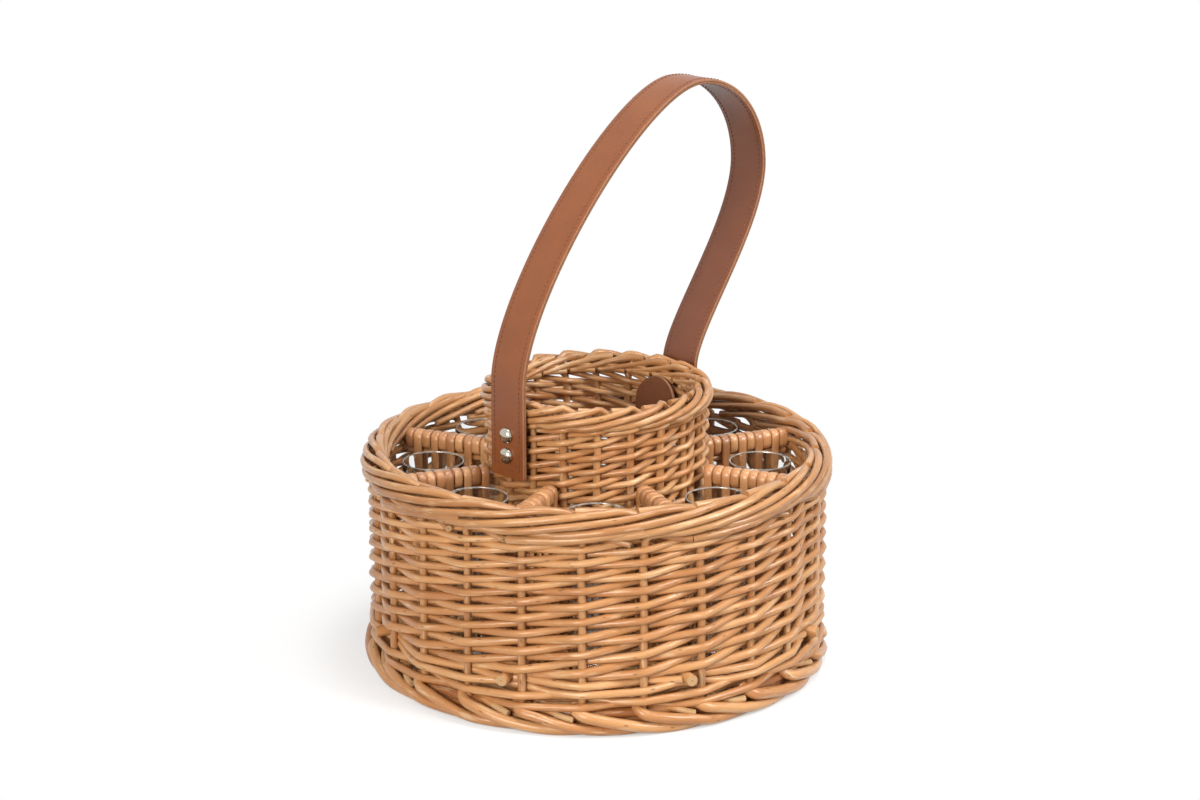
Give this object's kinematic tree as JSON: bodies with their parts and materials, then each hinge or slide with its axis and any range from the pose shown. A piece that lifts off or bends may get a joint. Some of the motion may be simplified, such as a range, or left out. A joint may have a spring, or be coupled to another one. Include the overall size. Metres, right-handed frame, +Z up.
{
  "type": "wicker bottle carrier",
  "caption": "Round woven willow drinks carrier: a tall central bottle well, wrapped dividers with glass tumblers in the compartments round it, and a riveted leather strap handle.",
  "frame": {"origin": "centre of the basket's foot, on the surface it stands on", "axes": "+Z up along the well's axis; +X towards the side that the strap leans to, with the strap in the XZ plane; +Y completes a right-handed frame"},
  "size_m": [0.3688, 0.3688, 0.4489],
  "materials": {
    "willow": "varnished willow rods",
    "willow_stakes": "varnished willow rods, a little darker",
    "skein": "split willow strip, red-brown and glossy",
    "leather": "smooth cognac leather, semi-matt",
    "nickel": "polished nickel plate",
    "glass": "clear, polished"
  },
  "bodies": {
    "basket": {"foot_border": "willow", "outer_border": "willow", "well_border": "willow", "wale_rod_1": "willow", "wale_rod_2": "willow", "wale_rod_3": "willow", "floor_and_stakes": "willow_stakes", "outer_weaver_1": "willow", "outer_weaver_2": "willow", "outer_weaver_3": "willow", "outer_weaver_4": "willow", "outer_weaver_5": "willow", "outer_weaver_6": "willow", "outer_weaver_7": "willow", "outer_weaver_8": "willow", "well_weaver_1": "willow", "well_weaver_2": "willow", "well_weaver_3": "willow", "well_weaver_4": "willow", "well_weaver_5": "willow", "well_weaver_6": "willow", "well_weaver_7": "willow", "well_weaver_8": "willow", "divider_1": "skein", "divider_2": "skein", "divider_3": "skein", "divider_4": "skein", "divider_5": "skein", "divider_6": "skein", "divider_7": "skein", "divider_8": "skein", "short_weaver_1": "willow", "short_weaver_2": "willow", "short_weaver_3": "willow", "short_weaver_4": "willow", "short_weaver_5": "willow", "short_weaver_6": "willow", "short_weaver_7": "willow", "short_weaver_8": "willow", "strap_face": "leather", "strap_lining": "leather", "tab_far": "leather", "tab_near": "leather", "rivet_far_lower": "nickel", "rivet_far_upper": "nickel", "rivet_near_lower": "nickel", "rivet_near_upper": "nickel"},
    "glass_1": {"glass_1": "glass"},
    "glass_2": {"glass_2": "glass"},
    "glass_3": {"glass_3": "glass"},
    "glass_4": {"glass_4": "glass"},
    "glass_5": {"glass_5": "glass"},
    "glass_6": {"glass_6": "glass"},
    "glass_7": {"glass_7": "glass"},
    "glass_8": {"glass_8": "glass"}
  },
  "joints": [
    {"name": "glass_1_lift", "type": "slide", "parent": "basket", "child": "glass_1", "axis": [0, 0, 1], "range_m": [0, 0.078]},
    {"name": "glass_2_lift", "type": "slide", "parent": "basket", "child": "glass_2", "axis": [0, 0, 1], "range_m": [0, 0.15]},
    {"name": "glass_3_lift", "type": "slide", "parent": "basket", "child": "glass_3", "axis": [0, 0, 1], "range_m": [0, 0.15]},
    {"name": "glass_4_lift", "type": "slide", "parent": "basket", "child": "glass_4", "axis": [0, 0, 1], "range_m": [0, 0.15]},
    {"name": "glass_5_lift", "type": "slide", "parent": "basket", "child": "glass_5", "axis": [0, 0, 1], "range_m": [0, 0.15]},
    {"name": "glass_6_lift", "type": "slide", "parent": "basket", "child": "glass_6", "axis": [0, 0, 1], "range_m": [0, 0.15]},
    {"name": "glass_7_lift", "type": "slide", "parent": "basket", "child": "glass_7", "axis": [0, 0, 1], "range_m": [0, 0.15]},
    {"name": "glass_8_lift", "type": "slide", "parent": "basket", "child": "glass_8", "axis": [0, 0, 1], "range_m": [0, 0.15]}
  ]
}
